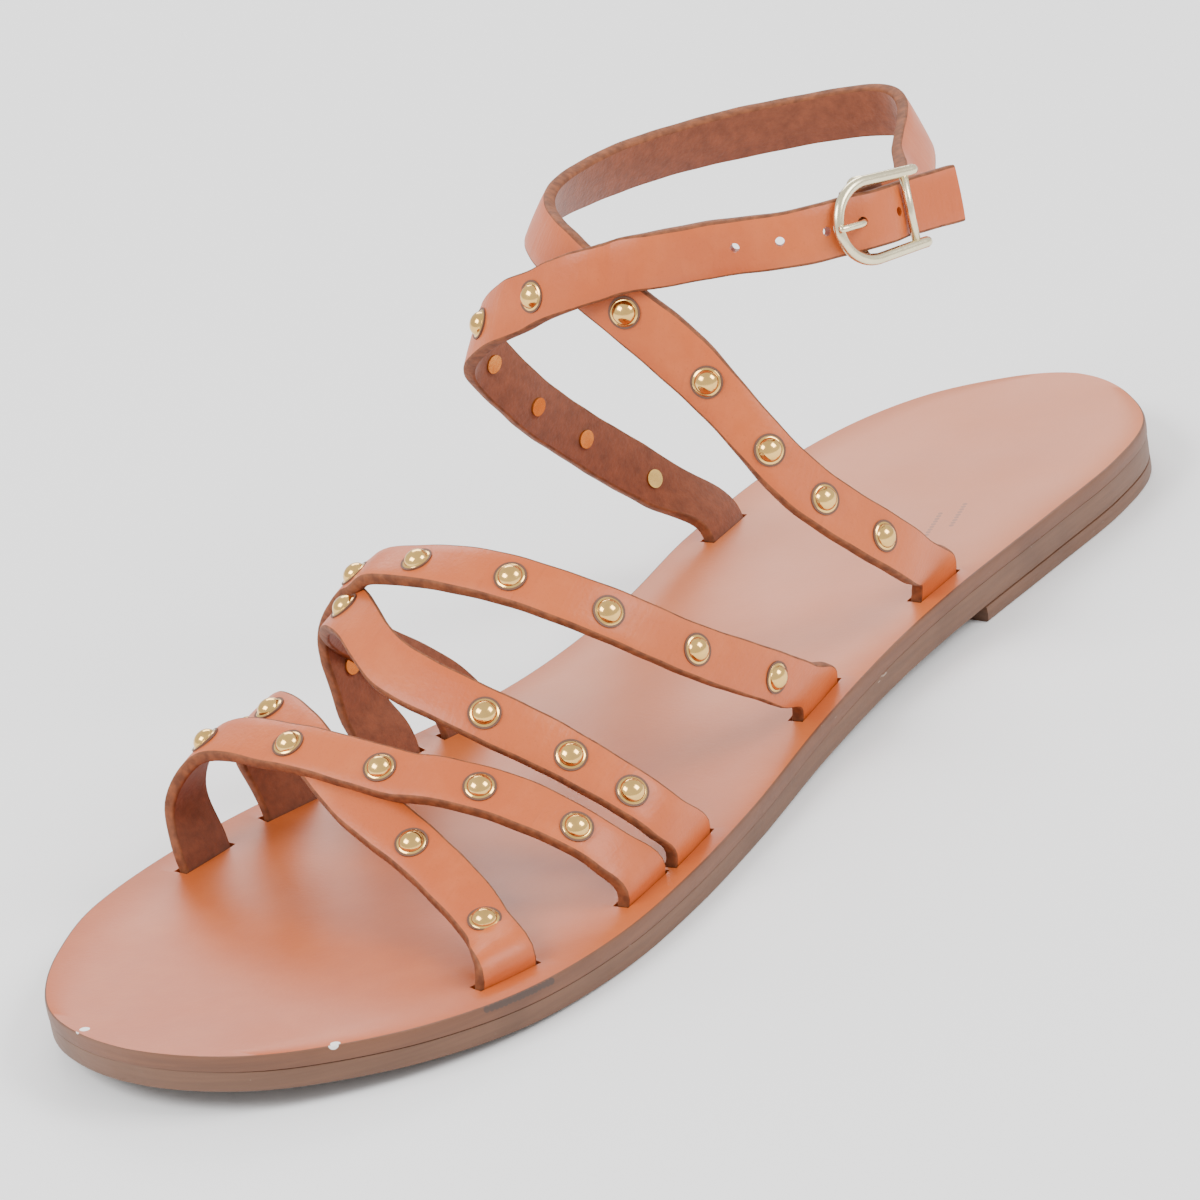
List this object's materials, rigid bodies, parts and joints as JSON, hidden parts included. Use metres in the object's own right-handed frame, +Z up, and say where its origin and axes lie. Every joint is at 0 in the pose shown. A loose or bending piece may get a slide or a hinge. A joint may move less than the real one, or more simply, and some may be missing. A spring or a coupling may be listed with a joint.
{
  "type": "strappy sandal",
  "caption": "Flat left sandal with a layered sole, crossed studded leather straps over the toes and instep, and an ankle strap closed by a buckle.",
  "frame": {"origin": "on the floor, under the middle of the sole's outline", "axes": "+Z up, toe towards -Y, outer side of the left foot towards +X, heel towards +Y"},
  "size_m": [0.0886, 0.255, 0.0834],
  "materials": {
    "strap": "satin tan leather",
    "insole": "smooth tan leather, paler at the heel",
    "outsole": "matte brown",
    "stud": "polished",
    "buckle": "polished pale gold"
  },
  "bodies": {
    "root": {"ankle_straps": "strap", "ball_stud_1": "stud", "ball_stud_2": "stud", "ball_stud_3": "stud", "ball_stud_4": "stud", "ball_stud_5": "stud", "buckle_frame": "buckle", "buckle_prong": "buckle", "closing_stud_1": "stud", "closing_stud_2": "stud", "closing_stud_3": "stud", "closing_stud_4": "stud", "closing_stud_5": "stud", "closing_stud_6": "stud", "front_instep_stud_1": "stud", "front_instep_stud_2": "stud", "front_instep_stud_3": "stud", "front_instep_stud_4": "stud", "front_instep_stud_5": "stud", "heel_lift": "outsole", "heel_side_stud_1": "stud", "heel_side_stud_2": "stud", "heel_side_stud_3": "stud", "heel_side_stud_4": "stud", "heel_side_stud_5": "stud", "insole": "insole", "instep_straps": "strap", "outsole": "outsole", "rear_instep_stud_1": "stud", "rear_instep_stud_2": "stud", "rear_instep_stud_3": "stud", "rear_instep_stud_4": "stud", "rear_instep_stud_5": "stud", "rear_instep_stud_6": "stud", "rear_instep_stud_7": "stud", "toe_straps": "strap", "toe_stud_1": "stud", "toe_stud_2": "stud", "toe_stud_3": "stud", "toe_stud_4": "stud"}
  },
  "joints": []
}
